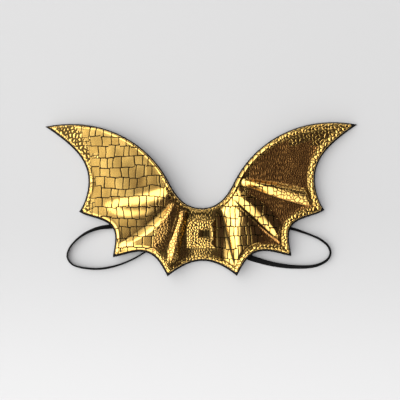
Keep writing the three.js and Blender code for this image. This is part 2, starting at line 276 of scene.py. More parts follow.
def wing_lift(x):
    """Height of the underside of the back: low at the middle, propped by the elastic, down at the tips."""
    away = np.abs(x)
    start = np.where(x < 0, LEFT_PROP[0], RIGHT_PROP[0])
    end = np.where(x < 0, LEFT_PROP[1], RIGHT_PROP[1])
    rise = LIFT_MIDDLE + (LIFT_PROPPED - LIFT_MIDDLE) * smooth(away, start, end)
    return rise - LIFT_PROPPED * np.clip((away - end) / (TIP_X - end), 0, 1) ** TIP_FALL


print("lift at the middle, the prop and the tip in mm:", wing_lift(np.array([0, 45, TIP_X])).round(2))

# %% Follow the crest of a rib
RIB_SAMPLES = 64
RIB_RUN_ON = 0.2
RIB_FADE = 0.14


def arc(places, share):
    """A smooth change through three places or values, at the start, the middle and the end of a rib."""
    start, middle, end = places
    handle = 2 * middle - (start + end) / 2
    return (1 - share) ** 2 * start + 2 * share * (1 - share) * handle + share**2 * end


def rib_line(places):
    """A rib's crest as an arc through three places, run on past both ends."""
    shares = np.linspace(-RIB_RUN_ON, 1 + RIB_RUN_ON, RIB_SAMPLES)
    return shares, arc(np.array(places, float), shares[:, None])


def beside_line(spots, places):
    """How far each spot is beside a rib's crest, outer side positive, and its share of the way along it."""
    shares, line = rib_line(places)
    offset = spots[:, None] - line[None]
    nearest = (offset**2).sum(axis=2).argmin(axis=1)
    offset = offset[np.arange(len(spots)), nearest]
    along = np.gradient(line, axis=0)[nearest]
    along /= np.linalg.norm(along, axis=1)[:, None]
    beside = along[:, 0] * offset[:, 1] - along[:, 1] * offset[:, 0]
    return beside * np.sign(places[0][0]), shares[nearest]


def fade_ends(share):
    return smooth(share, -RIB_FADE, RIB_FADE) * (1 - smooth(share, 1 - RIB_FADE, 1 + RIB_FADE))


def bell(value, half):
    return np.exp(-((value / half) ** 2))


print("points along each crest:", RIB_SAMPLES)

# %% Raise the ribs
# Each rib: its crest from root through middle to end, and its height. Then its outer and inner wall, each
# with widths at those three places, a sharpness (0 runs out softly, 1 meets the panel in a crease, and more
# digs the crease deeper) and the share of its width that stays level.
RIBS = [
    (((-21, 5), (-40, -4.2), (-64, -4.8)), 2.1, ((7, 11, 6), 0.0, 0.0), ((6, 8, 6), 0.1, 0.0)),
    (((-20, -4.4), (-33.2, -20.4), (-54.2, -32.2)), 2.8,
     ((3.6, 5.6, 3), 1.0, 0.0), ((5, 16, 14), 0.0, 0.55)),
    (((-12.7, -8.9), (-16.7, -25.3), (-20.7, -42.1)), 3.6,
     ((4.2, 5.6, 4.2), 0.9, 0.0), ((3, 3.8, 3.4), 1.0, 0.0)),
    (((33, 12.4), (58, 7.2), (86, 0.6)), 4.6, ((2.5, 5, 5), 0.0, 0.0), ((3.5, 7.4, 8.5), 0.9, 0.0)),
    (((25.8, 2.4), (43.3, -10.2), (55.2, -27.9)), 2.6, ((5, 8, 5), 0.0, 0.0), ((4, 7, 2.6), 1.0, 0.0)),
    (((19.4, -6.8), (23.8, -26), (25.6, -46.7)), 1.6,
     ((7, 21, 14), 0.0, 0.55), ((5.5, 5.5, 2.4), 1.7, 0.0)),
]
RIB_THINNING = 0.3
WALL_CURVE = 1.3
DIP_DEPTH, DIP_REACH = 0.8, 4.0
# The crease beside a sharp wall is painted dark as shade, more darkly on the right wing. SEAM_HALF is the half
# width of that shade and of the rim's seam line.
SEAM_HALF = 0.75
RIGHT_CREASE_SHADE, RIGHT_CREASE_SHADE_X = 0.6, (4.0, 12.0)


def rib_height(spots, places, height, outer, inner):
    """A rib's share at each spot, its rise, below 0 in the dip beside a sharp wall, and its painted crease
    shade.
    """
    beside, share = beside_line(spots, places)
    along = np.clip(share, 0, 1)
    width = np.where(beside > 0, arc(outer[0], along), arc(inner[0], along))
    sharp = np.where(beside > 0, outer[1], inner[1])
    level = np.where(beside > 0, outer[2], inner[2])
    reach = np.clip((np.abs(beside) / width - level) / (1 - level), 0, 1)
    wall = sharp * (1 - reach**WALL_CURVE) + (1 - sharp) * (0.5 + 0.5 * np.cos(np.pi * reach))
    ends = fade_ends(share) * (1 - RIB_THINNING * along)
    past = np.abs(beside) - width
    dip = DIP_DEPTH * sharp * (1 - wall) * np.exp(-np.clip(past, 0, None) / DIP_REACH)
    return wall * ends, (height * wall - dip) * ends, bell(past, SEAM_HALF) * sharp * ends


def all_ribs(spots):
    """The share of a rib at each spot, the rise of all the ribs together, and the painted shade in the crease
    beside them.
    """
    rows = [rib_height(spots, *rib) for rib in RIBS]
    shares, rises, creases = (np.array(values) for values in zip(*rows))
    ridge = np.clip(rises, 0, None).max(axis=0) + np.clip(rises, None, 0).min(axis=0)
    # Painted shade in the creases is made darker on the right wing.
    crease_shade_boost = 1 + RIGHT_CREASE_SHADE * smooth(spots[:, 0], *RIGHT_CREASE_SHADE_X)
    return shares.max(axis=0), ridge, np.clip(creases.max(axis=0) * crease_shade_boost, 0, 1)


print("ribs:", len(RIBS), "highest in mm:", max(height for _, height, *_ in RIBS))

# %% Add the folds and the waves of the wadding
# A thin fold of loose leather beside a crease, and a broad swell beside the third right rib. Each has a line
# given the same way as a crest, a height and half its width.
FOLDS = [
    (((24.6, -2.4), (40.0, -17.6), (55.0, -30.2)), 0.8, 0.9),
    (((30.0, -10.0), (37.5, -24.0), (36.0, -40.0)), 0.95, 7.5),
]
# Each kind of wave: its size, its layer of the noise and its height.
WAVES = [(17.0, 3.1, 0.25), (6.5, 8.7, 0.06)]


def fold_height(spots):
    height = np.zeros(len(spots))
    for line, rise, half in FOLDS:
        beside, share = beside_line(spots, line)
        height += rise * bell(beside, half) * fade_ends(share)
    return height


def padding(spots):
    height = np.zeros(len(spots))
    for size, layer, rise in WAVES:
        height += rise * np.array([noise.noise((x / size, y / size, layer)) for x, y in spots])
    return height


print("folds:", len(FOLDS), "kinds of waves:", len(WAVES))

# %% Puff up the stitched square
SQUARE_CENTRE = (-0.4, -24.6)
SQUARE_HALF = 10.0
SQUARE_PUFF = 1.4
PUFF_INSIDE, PUFF_OUTSIDE = 2.4, 0.6
STITCH_DEPTH, STITCH_HALF = 0.12, 0.8
DENT_CENTRE = (3.2, -24.5)
DENT_HALF = (4.0, 4.2)
DENT_DEPTH = 1.4
DENT_TAPER = 0.8
DENT_EDGE = (0.5, 1.35)


def dent_share(spots):
    """The dent in the square, a soft wedge that widens towards the right."""
    across, along = ((spots - DENT_CENTRE) / DENT_HALF).T
    widening = DENT_TAPER + (1 - DENT_TAPER) * np.clip(across, -1, 1)
    dent = np.maximum(np.abs(across), np.abs(along) / widening)
    return 1 - smooth(dent, *DENT_EDGE)


def from_square(spots):
    """How far each spot is outside the square's seam, below 0 inside it."""
    return np.abs(spots - SQUARE_CENTRE).max(axis=1) - SQUARE_HALF


def square_height(spots):
    outside = from_square(spots)
    pad = SQUARE_PUFF * (1 - smooth(outside, -PUFF_INSIDE, PUFF_OUTSIDE))
    stitches = STITCH_DEPTH * bell(outside - PUFF_OUTSIDE, STITCH_HALF)
    return pad - stitches - DENT_DEPTH * dent_share(spots)


print("puff of the square and bottom of the dent in mm:",
      square_height(np.array([(-5.0, -24.6), DENT_CENTRE])).round(2))

# %% Roll the rim
RIM_WIDTH, RIGHT_RIM_WIDTH, NECK_RIM_WIDTH = 3.2, 4.6, 1.8
RIGHT_RIM_X, NECK_RIM_X, NECK_RIM_Y = (30, 60), (10, 18), (-15, -11)
RIM_ROLL = 1.0
RIM_LEAN = (0.38, 1.7)
THIN_RIM_WIDTH, THIN_RIM_ROLL = 1.8, 0.5
ROUND_RISE = 0.9
ROUND_REACH = (2.6, 1.4)
LEFTWARD = (-1.0, 0.3)
TURNS_LEFT, TURNS_RIGHT = (-0.6, 0.6), (0.1, 0.45)


def rim_width(spots):
    x, y = spots.T
    by_neck = smooth(y, *NECK_RIM_Y) * (1 - smooth(np.abs(x), *NECK_RIM_X))
    wider = (RIGHT_RIM_WIDTH - RIM_WIDTH) * smooth(x, *RIGHT_RIM_X)
    return RIM_WIDTH + wider + (NECK_RIM_WIDTH - RIM_WIDTH) * by_neck


def rolled(distance, width, skew):
    return np.sin(np.pi * np.clip(distance / width, 0, 1) ** skew)


def rim_height(distance, facing, width, on_left):
    """A rolled rim that leans to the left. The left wing has a rounded edge, with a thin rim by the neck."""
    to_left = smooth(facing @ LEFTWARD, *TURNS_LEFT)
    to_right = smooth(facing[:, 0], *TURNS_RIGHT)
    skew = RIM_LEAN[0] + (RIM_LEAN[1] - RIM_LEAN[0]) * to_left
    roll = RIM_ROLL * rolled(distance, width, skew)
    thin = THIN_RIM_ROLL * to_right * rolled(distance, THIN_RIM_WIDTH, skew)
    reach = ROUND_REACH[0] + (ROUND_REACH[1] - ROUND_REACH[0]) * to_right
    rounded = ROUND_RISE * (1 - (1 - np.clip(distance / reach, 0, 1)) ** 2)
    return roll * (1 - on_left) + (rounded + thin) * on_left


print("rim widths on the left wing, the right wing and at the neck in mm:",
      rim_width(np.array([(-60.0, 0), (70, 0), (0, -8)])).round(1))

# %% Add up the thickness of the front
EDGE_THICKNESS, GROOVE_THICKNESS = 0.5, 2.0
EDGE_ROUND = 0.9
PANEL_RISE = -0.1
PANEL_REACH = 3.0
PANEL_OVERLAP, LEFT_PANEL_START = 0.3, 0.8
ROUND_END = (-26.0, -10.0)
RIB_BOLDNESS, TIP_BOLDNESS = 0.6, 0.6
TIP_SCALES_X, TIP_SCALES_Y, TIP_SCALES_REACH = (50, 66), (28, 38), (8, 12)
RING_EDGE, RIM_SOFTNESS = (-0.5, 0.8), 0.6
STITCH_INK, STITCH_REACH, BORDER_INK = 0.7, 0.7, 0.6


def bold_scales(spots, distance, rib, width, on_left):
    """How far the scales stand out: boldly on the ribs, the square, the rim and the right tip."""
    ring = (1 - smooth(from_square(spots), *RING_EDGE)) * (1 - dent_share(spots))
    rim = (1 - smooth(distance, width - RIM_SOFTNESS, width + RIM_SOFTNESS)) * (1 - on_left)
    near_tip = smooth(spots[:, 0], *TIP_SCALES_X) * smooth(spots[:, 1], *TIP_SCALES_Y)
    tip = near_tip * (1 - smooth(distance, *TIP_SCALES_REACH))
    return np.maximum.reduce([RIB_BOLDNESS * rib, ring, rim, TIP_BOLDNESS * tip])


def seams_and_painted_shade(spots, distance, crease, width, on_left):
    """How dark the marks are: the stitches round the square and the rim's seam, and painted shade in the
    creases and the dent.
    """
    stitches = STITCH_INK * bell(from_square(spots) - STITCH_REACH, STITCH_REACH)
    border = BORDER_INK * bell(distance - width, SEAM_HALF) * (1 - on_left)
    return np.maximum.reduce([crease, stitches, border, dent_share(spots)])


def front_thickness(spots, distance, facing):
    """Thickness of the front at each spot, and the marks there that the leather's finish needs, painted crease
    and dent shade among them.
    """
    on_left = 1 - smooth(spots[:, 0], *ROUND_END)
    width = rim_width(spots)
    start = (width - PANEL_OVERLAP) * (1 - on_left) + LEFT_PANEL_START * on_left
    inside = smooth(distance, start, start + PANEL_REACH)
    share, ridge, crease = all_ribs(spots)
    panel = PANEL_RISE + square_height(spots) + padding(spots) + ridge + fold_height(spots)
    rounding = 1 - (1 - np.clip(distance / EDGE_ROUND, 0, 1)) ** 2
    edge = EDGE_THICKNESS + (GROOVE_THICKNESS - EDGE_THICKNESS) * rounding
    rib = share * inside
    marks = {
        "rib": rib,
        "rim": distance,
        "bold": bold_scales(spots, distance, rib, width, on_left),
        # The seam mark holds the stitch and rim seam lines, and painted shade in the creases and the dent.
        "seam": seams_and_painted_shade(spots, distance, crease * inside, width, on_left),
    }
    return edge + rim_height(distance, facing, width, on_left) + inside * panel, marks


middle_thickness, _ = front_thickness(np.array([(-60.0, 20.0)]), np.array([20.0]), np.array([(0.0, 1.0)]))
print("thickness in the middle of the left wing in mm:", middle_thickness.round(2))

# %% [markdown]
# ## The front as a mesh
# A surface with sharp creases and small tiles needs an even, fine mesh. A lattice of points fills the
# outline, a Delaunay triangulation joins the points, and the rules above lift them. The same outline, with a
# coarser lattice, closes the underside, so that the front is one closed body.

# %% Cut the edge of the front
FRONT_MARGIN = 0.95
FRONT_SHIFT = (0.0, 0.3)
CORNER_BARE, TIP_BARE = 2.6, 4.2
EDGE_STEP = 0.1
FACING_STEPS = 10
SHARPEST_CORNER = 0.3
KEPT_SHARE = 0.985


def fine_edge(edge):
    return even(np.concatenate([edge, edge[:1]]), EDGE_STEP)


def edge_tree(edge):
    fine = fine_edge(edge)
    tree = kdtree.KDTree(len(fine))
    for index, (x, y) in enumerate(fine):
        tree.insert((x, y, 0), index)
    tree.balance()
    return tree


def edge_facing(edge):
    """The direction out of the edge at each fine step along it."""
    fine = fine_edge(edge)
    run = np.roll(fine, -FACING_STEPS, axis=0) - np.roll(fine, FACING_STEPS, axis=0)
    return np.stack([run[:, 1], -run[:, 0]], axis=1) / np.linalg.norm(run, axis=1)[:, None]


def edge_distance(tree, points):
    """How far each point is from the edge, and the number of the nearest step along it."""
    found = [tree.find((x, y, 0)) for x, y in points]
    return np.array([row[2] for row in found]), np.array([row[1] for row in found])


def inset(edge, margin):
    """The edge moved inwards by a margin, with the points that cross at a corner left out."""
    before = edge - np.roll(edge, 1, axis=0)
    after = np.roll(edge, -1, axis=0) - edge
    normals = []
    for run in (before, after):
        unit = run / np.linalg.norm(run, axis=1)[:, None]
        normals.append(np.stack([-unit[:, 1], unit[:, 0]], axis=1))
    middle = normals[0] + normals[1]
    middle /= np.linalg.norm(middle, axis=1)[:, None]
    stretch = np.maximum((middle * normals[0]).sum(axis=1), SHARPEST_CORNER)
    moved = edge + middle * (margin / stretch)[:, None]
    distance, _ = edge_distance(edge_tree(edge), moved)
    return moved[distance > KEPT_SHARE * margin]


corners = np.array([(side * x, y) for (x, y), *_ in POINTS for side in (-1, 1)])
front_edge = inset(outline, FRONT_MARGIN) + FRONT_SHIFT
to_corner = np.linalg.norm(front_edge[:, None] - corners, axis=2).min(axis=1)
to_tip = np.linalg.norm(front_edge - POINTS[0][0], axis=1)
front_edge = front_edge[(to_corner > CORNER_BARE) & (to_tip > TIP_BARE)]
print("points on the edge of the front:", len(front_edge))

# %% Fill an edge with a closed sheet
CLEAR_SHARE = 0.55
INSIDE_ONLY, MERGE_LIMIT = 1, 1e-7


def lattice(edge, step):
    """A triangular lattice of points inside a closed edge."""
    low, high = edge.min(axis=0), edge.max(axis=0)
    ahead = np.roll(edge, -1, axis=0)
    rows = []
    for number, y in enumerate(np.arange(low[1] + step, high[1], step * math.sqrt(0.75))):
        crosses = (edge[:, 1] > y) != (ahead[:, 1] > y)
        start, end = edge[crosses], ahead[crosses]
        share = (y - start[:, 1]) / (end[:, 1] - start[:, 1])
        cuts = np.sort(start[:, 0] + share * (end[:, 0] - start[:, 0]))
        x = np.arange(low[0], high[0], step) + (number % 2) * step / 2
        inside = np.searchsorted(cuts, x) % 2 == 1
        rows.append(np.column_stack([x[inside], np.full(inside.sum(), y)]))
    spots = np.concatenate(rows)
    distance, _ = edge_distance(edge_tree(edge), spots)
    return spots[distance > CLEAR_SHARE * step]


def triangulate(edge, spots):
    """Triangles that join the edge and the spots inside it, all anticlockwise."""
    points = np.concatenate([edge, spots])
    count = len(edge)
    sides = [(k, (k + 1) % count) for k in range(count)]
    places = [Vector(point) for point in points]
    _, _, faces, _, _, _ = delaunay_2d_cdt(places, sides, [], INSIDE_ONLY, MERGE_LIMIT)
    faces = np.array(faces)
    a, b, c = points[faces[:, 0]], points[faces[:, 1]], points[faces[:, 2]]
    turned = (b[:, 0] - a[:, 0]) * (c[:, 1] - a[:, 1]) < (b[:, 1] - a[:, 1]) * (c[:, 0] - a[:, 0])
    faces[turned] = faces[turned][:, ::-1]
    return points, faces


def closed_sheet(name, edge, top_step, under_step, top_height, under_height):
    """A closed body over one edge, from a rule for its top and one for its underside."""
    top, top_faces = triangulate(edge, lattice(edge, top_step))
    under, under_faces = triangulate(edge, lattice(edge, under_step))
    count = len(edge)
    base = len(top)
    wall = [(base + k, base + (k + 1) % count, (k + 1) % count, k) for k in range(count)]
    points = np.concatenate([
        np.column_stack([top, top_height(top)]),
        np.column_stack([under, under_height(under)]),
    ])
    faces = top_faces.tolist() + (under_faces[:, ::-1] + base).tolist() + wall
    return make_piece(name, points, faces), len(top)


# %% Build the front
BACK_THICKNESS = 1.0
COVER_GAP = 0.3
FRONT_STEP = 0.44
UNDER_STEP = 3.0

front_tree = edge_tree(front_edge)
front_facing = edge_facing(front_edge)
front_marks = {}


def front_underside(spots):
    return wing_lift(spots[:, 0]) + BACK_THICKNESS + COVER_GAP


def front_top(spots):
    """Height of the top of the front, which also notes the marks for the finish."""
    distance, step = edge_distance(front_tree, spots)
    thickness, marks = front_thickness(spots, distance, front_facing[step])
    front_marks.update(marks)
    return front_underside(spots) + thickness


def store(piece, name, values):
    attribute = piece.data.attributes.new(name, "FLOAT", "POINT")
    attribute.data.foreach_set("value", np.asarray(values, np.float32))


front, top_count = closed_sheet("front", front_edge, FRONT_STEP, UNDER_STEP, front_top, front_underside)
under_zeros = np.zeros(len(front.data.vertices) - top_count)
for mark, values in front_marks.items():
    store(front, mark, np.concatenate([values, under_zeros]))
print("front triangles:", len(front.data.polygons), "marks:", sorted(front_marks))

# %% [markdown]
# ## The tile chart
# The leather is embossed like a reptile's skin: large tiles in rows on the left wing, slim ones beside the
# neck and the square, and beads and grain elsewhere. The chart is built from nodes that exist in materials
# and in Geometry Nodes, so the same function serves the emboss and the colour, and the two always agree.
# Rows come from the whole part of y, joints in a row from a Voronoi texture in one dimension, and beads from
# one in two dimensions.


# %% Add nodes to a tree
def add_node(tree, kind, inputs=None, **settings):
    node = tree.nodes.new(kind)
    for name, value in settings.items():
        setattr(node, name, value)
    for key, value in (inputs or {}).items():
        if isinstance(value, bpy.types.NodeSocket):
            tree.links.new(value, node.inputs[key])
        else:
            node.inputs[key].default_value = value
    return node


def calc(tree, operation, first, second=0.0, third=0.0):
    node = add_node(tree, "ShaderNodeMath", {0: first, 1: second, 2: third}, operation=operation)
    return node.outputs[0]


def vector_calc(tree, operation, inputs):
    return add_node(tree, "ShaderNodeVectorMath", inputs, operation=operation).outputs[0]


def separate(tree, vector):
    node = add_node(tree, "ShaderNodeSeparateXYZ", {0: vector})
    return node.outputs[0], node.outputs[1]


def ramp(tree, value, low, high, start=0.0, end=1.0):
    inputs = {"Value": value, "From Min": low, "From Max": high, "To Min": start, "To Max": end}
    node = add_node(tree, "ShaderNodeMapRange", inputs, interpolation_type="SMOOTHSTEP")
    return node.outputs[0]


def choose(tree, factor, first, second):
    node = add_node(tree, "ShaderNodeMix", {0: factor, 2: first, 3: second}, data_type="FLOAT")
    return node.outputs[0]


# %% Draw tiles in rows
ROW_HEIGHT = 7.27
ROW_START = 2.1
STEP_WIDTH = 8.3
STEP_SHARE = 0.26
ROUND_JOINT = 0.7
# Each kind of tile: the height of its rows, its width, a seed and how loose its joints are.
TILES = {
    "tile": (ROW_HEIGHT, 6.2, 0.31, 0.85),
    "slim": (ROW_HEIGHT, 3.8, 5.77, 0.6),
    "small": (ROW_HEIGHT / 2, 3.0, 9.13, 0.55),
}
# Factors that give each row, joint and tile a random number of its own.
COLUMN_SHIFT, JUMP_FACTOR, ROW_FACTOR, TONE_FACTOR = 0.61, 31.7, 17.37, 3.71


def random_value(tree, number):
    return add_node(tree, "ShaderNodeTexWhiteNoise", {"W": number}, noise_dimensions="1D").outputs["Value"]


def voronoi_pair(tree, inputs, dimensions):
    """Two Voronoi textures on the same cells: the distance to an edge, and the cell itself."""
    features = ("DISTANCE_TO_EDGE", "F1")
    kind = "ShaderNodeTexVoronoi"
    return [add_node(tree, kind, inputs, voronoi_dimensions=dimensions, feature=name) for name in features]


def nearest_row(tree, x, y, row_height):
    """The row that a place is in, and how far it is from the row's border, which steps up and down."""
    level = calc(tree, "DIVIDE", calc(tree, "SUBTRACT", y, ROW_START), row_height)
    border = calc(tree, "ROUND", level)
    across = calc(tree, "DIVIDE", x, STEP_WIDTH)
    column = calc(tree, "FLOOR", calc(tree, "MULTIPLY_ADD", border, COLUMN_SHIFT, across))
    jump = random_value(tree, calc(tree, "MULTIPLY_ADD", border, JUMP_FACTOR, column))
    moved = calc(tree, "MULTIPLY_ADD", calc(tree, "SUBTRACT", jump, 0.5), STEP_SHARE, border)
    past = calc(tree, "SUBTRACT", level, moved)
    row = calc(tree, "ADD", border, calc(tree, "GREATER_THAN", past, 0.0))
    return row, calc(tree, "MULTIPLY", calc(tree, "ABSOLUTE", past), row_height)


def bricks(tree, place, row_height, width, seed, loose):
    """Tiles in rows: the tile's middle in x, then the distance to a groove, its own tone and its slope."""
    x, y = separate(tree, place)
    row, to_row = nearest_row(tree, x, y, row_height)
    shift = calc(tree, "MULTIPLY_ADD", row, ROW_FACTOR, seed)
    along = calc(tree, "ADD", calc(tree, "DIVIDE", x, width), shift)
    edge, cell = voronoi_pair(tree, {"W": along, "Scale": 1.0, "Randomness": loose}, "1D")
    to_joint = calc(tree, "MULTIPLY", edge.outputs["Distance"], width)
    gap = calc(tree, "SMOOTH_MIN", to_row, to_joint, ROUND_JOINT)
    middle = calc(tree, "MULTIPLY", calc(tree, "SUBTRACT", cell.outputs["W"], shift), width)
    tone = random_value(tree, calc(tree, "MULTIPLY_ADD", row, TONE_FACTOR, cell.outputs["W"]))
    lean = calc(tree, "MULTIPLY", calc(tree, "SUBTRACT", x, middle), calc(tree, "SUBTRACT", tone, 0.5))
    return middle, (gap, tone, lean)


print("kinds of tiles:", list(TILES))

# %% Draw beads
BEAD_SIZES = {"bead": 2.1, "tip": 3.0, "scale": 2.6, "grain": 1.55}
BEAD_LOOSENESS = 0.85
HATCH_SIZE, HATCH_STRETCH = 1.4, (1.0, 0.4, 1.0)


def beads(tree, place, size):
    """Small round scales: distance to the nearest groove, each scale's own tone, and no slope."""
    edge, cell = voronoi_pair(tree, {"Vector": place, "Scale": 1 / size, "Randomness": BEAD_LOOSENESS}, "2D")
    tone, _ = separate(tree, cell.outputs["Color"])
    return calc(tree, "MULTIPLY", edge.outputs["Distance"], size), tone, 0.0


def deepened(tree, pattern, depth):
    """A pattern with wider grooves."""
    gap, tone, lean = pattern
    return calc(tree, "SUBTRACT", gap, depth), tone, lean


print("kinds of beads:", list(BEAD_SIZES))

# %% Divide the leather into zones
ON_RIB = 0.12
# Each zone is where every measure in its list lies between two borders in mm. None leaves a side open.
ZONES = {
    "left_tip": [("leaned_x", None, -80.5)],
    "tip_end": [("leaned_x", None, -92.0)],
    "large_left": [("leaned_tile", -76.5, -31.0)],
    "small_by_tip": [("leaned_small", -80.0, -75.0)],
    "small_low": [("small", -33.0, -26.0), ("y", None, -12.0)],
    "small_right": [("small", 8.0, 12.0)],
    "slim_by_neck": [("slim", -37.0, -19.0), ("y", -12.0, None)],
    "slim_right": [("slim", 11.0, 31.0)],
    "slim_on_ribs": [("slim", 28.0, 54.0), ("rib", ON_RIB, None)],
    "upper_rim": [("x", 18.0, 46.0), ("y", 6.0, None), ("rim", None, 3.9)],
    "neck_rim": [("x", -13.0, 16.0), ("y", -13.0, None)],
    "above_square": [("x", -13.0, 16.0), ("y", -13.0, None), ("rib", None, ON_RIB)],
    "right_panel": [("x", 34.0, 62.0), ("rib", None, ON_RIB)],
    "far_right_panel": [("x", 60.0, None), ("rib", None, ON_RIB)],
    "far_right_ribs": [("x", 52.0, None), ("rib", ON_RIB, None)],
    "valley": [("from_valley", -24.0, None), ("from_crest", None, -10.5), ("rib", ON_RIB, None)],
    "right_tip": [("x", 62.0, 104.0), ("y", 38.0, None)],
    "middle_and_right": [("x", -28.0, None)],
    "low_edge": [("y", None, -37.0)],
}
LEAN_START, LEAN = 33.0, 0.4
VALLEY_SLOPE, CREST_SLOPE = -0.32, -0.24
# The rim's scales reach further in on the right wing, and have a reach of their own in a few zones.
RIM_GROWS, RIM_REACH = (40.0, 60.0), (3.6, 4.8)
RIM_REACHES = [("neck_rim", 1.7), ("left_tip", 1.5), ("right_tip", 11.0)]


def join(tree, operation, values):
    """One value from many: their product where all have to hold, their maximum where one is enough."""
    first, *others = values
    for other in others:
        first = calc(tree, operation, first, other)
    return first


def chart_measures(tree, place, rib, rim, middles):
    """What the zones are measured in. A leaned measure follows the left wing as it bends back to its tip."""
    x, y = separate(tree, place)
    measures = {"x": x, "y": y, "rib": rib, "rim": rim, **middles}
    past = calc(tree, "MAXIMUM", calc(tree, "SUBTRACT", y, LEAN_START), 0.0)
    for name in ("x", "small", "tile"):
        measures["leaned_" + name] = calc(tree, "MULTIPLY_ADD", past, LEAN, measures[name])
    measures["from_valley"] = calc(tree, "MULTIPLY_ADD", y, VALLEY_SLOPE, x)
    measures["from_crest"] = calc(tree, "MULTIPLY_ADD", y, CREST_SLOPE, x)
    return measures


def chart_zones(tree, measures):
    """Every zone by its name, as 1 inside it and 0 outside."""
    zones = {}
    for zone, borders in ZONES.items():
        tests = []
        for measure, low, high in borders:
            if low is not None:
                tests.append(calc(tree, "GREATER_THAN", measures[measure], low))
            if high is not None:
                tests.append(calc(tree, "LESS_THAN", measures[measure], high))
        zones[zone] = join(tree, "MULTIPLY", tests)
    zones["scaled_rim"] = rim_zone(tree, measures, zones)
    return zones


def rim_zone(tree, measures, zones):
    reach = ramp(tree, measures["x"], *RIM_GROWS, *RIM_REACH)
    for zone, own_reach in RIM_REACHES:
        reach = choose(tree, zones[zone], reach, own_reach)
    on_rim = calc(tree, "LESS_THAN", measures["rim"], reach)
    covered = join(tree, "MAXIMUM", [zones[zone] for zone in ("middle_and_right", "low_edge", "left_tip")])
    bare = calc(tree, "SUBTRACT", 1.0, zones["upper_rim"])
    return join(tree, "MULTIPLY", [on_rim, covered, bare])


print("zones:", len(ZONES))

# %% Chart the tiles
# Two drifts bend every line a little: each has a size and a reach.
DRIFTS = [(20.0, 2.2), (6.0, 0.7)]
TIP_GROOVE, TIP_END_GROOVE, SQUARE_GROOVE = 0.44, 0.18, 0.06
BEAD_INK = 0.9
BEAD_TOP, TILE_TOP = (0.0, 0.75), (0.1, 0.6)
# Each kind of scale, the later over the earlier: its pattern, its zones, 1 for a flat top or 0 for a round
# one, and how dark its grooves are, where a low value also paints the gold browner as shade.
KINDS = [
    ("dark_hatch", ["above_square"], 0.0, 0.95),
    ("hatch", ["right_panel"], 0.0, 0.62),
    ("grain", ["far_right_panel"], 0.0, 0.62),
    ("scale", ["far_right_ribs"], 0.6, 0.8),
    ("small", ["small_by_tip", "small_low", "small_right"], 1.0, 0.9),
    ("slim", ["slim_right", "slim_by_neck", "slim_on_ribs", "upper_rim"], 1.0, 1.0),
    ("tile", ["large_left"], 1.0, 1.0),
    ("bead", ["valley"], 0.5, 0.75),
    ("scale", ["scaled_rim"], 0.0, 0.95),
]


def wavy(tree, place, size, reach):
    """The place moved a little by a slow noise, so that no line is ruled."""
    drift = add_node(tree, "ShaderNodeTexNoise", {"Vector": place, "Scale": 1 / size, "Detail": 1.0})
    centred = vector_calc(tree, "SUBTRACT", {0: drift.outputs["Color"], 1: (0.5, 0.5, 0.5)})
    scaled = vector_calc(tree, "SCALE", {0: centred, "Scale": 2 * reach})
    return vector_calc(tree, "ADD", {0: place, 1: scaled})


def choose_each(tree, zone, first, second):
    return tuple(choose(tree, zone, one, other) for one, other in zip(first, second))


def tile_chart(tree, place, rib, rim):
    """Distance to a groove in mm, the scale's tone and slope, how flat its top is, and the groove's ink."""
    for drift in DRIFTS:
        place = wavy(tree, place, *drift)
    made = {name: bricks(tree, place, *sizes) for name, sizes in TILES.items()}
    middles = {name: middle for name, (middle, _) in made.items()}
    patterns = {name: pattern for name, (_, pattern) in made.items()}
    patterns |= {name: beads(tree, place, size) for name, size in BEAD_SIZES.items()}
    stretched = vector_calc(tree, "MULTIPLY", {0: place, 1: HATCH_STRETCH})
    patterns["hatch"] = beads(tree, stretched, HATCH_SIZE)
    patterns["dark_hatch"] = deepened(tree, patterns["hatch"], SQUARE_GROOVE)
    zones = chart_zones(tree, chart_measures(tree, place, rib, rim, middles))
    tip = deepened(tree, patterns["tip"], TIP_GROOVE)
    tip = choose_each(tree, zones["tip_end"], tip, deepened(tree, tip, TIP_END_GROOVE))
    patterns["bead"] = choose_each(tree, zones["left_tip"], patterns["bead"], tip)
    chart = (*patterns["bead"], 0.0, BEAD_INK)
    for pattern, names, flat, ink in KINDS:
        zone = join(tree, "MAXIMUM", [zones[name] for name in names])
        chart = choose_each(tree, zone, chart, (*patterns[pattern], flat, ink))
    return chart


def tile_rise(tree, gap, flat):
    """Height from 0 in a groove to 1 on top: a tile has a flat top, a bead is round."""
    return choose(tree, flat, ramp(tree, gap, *BEAD_TOP), ramp(tree, gap, *TILE_TOP))


print("kinds of scales:", len(KINDS))

# %% [markdown]
# ## Emboss the tiles
# The press pushes every groove into the leather. Geometry Nodes move each point of the front along its
# normal by the height that the chart gives there, so the emboss is real shape and not only shading. The
# underside and the outer edge stay where they are.

# %% Build the emboss with Geometry Nodes
LOW_EMBOSS = 0.12
EMBOSS_START = 0.8


def new_tree(name, sizes):
    tree = bpy.data.node_groups.new(name, "GeometryNodeTree")
    tree.interface.new_socket("Geometry", in_out="INPUT", socket_type="NodeSocketGeometry")
    for label, kind in sizes.items():
        tree.interface.new_socket(label, in_out="INPUT", socket_type=kind)
    tree.interface.new_socket("Geometry", in_out="OUTPUT", socket_type="NodeSocketGeometry")
    return tree, tree.nodes.new("NodeGroupInput"), tree.nodes.new("NodeGroupOutput")


def finish_tree(tree, geometry, material, end):
    real = add_node(tree, "GeometryNodeRealizeInstances", {"Geometry": geometry})
    painted = add_node(tree, "GeometryNodeSetMaterial", {"Geometry": real.outputs[0], "Material": material})
    tree.links.new(painted.outputs[0], end.inputs[0])


def named_value(tree, name):
    node = add_node(tree, "GeometryNodeInputNamedAttribute", {"Name": name}, data_type="FLOAT")
    return node.outputs[0]


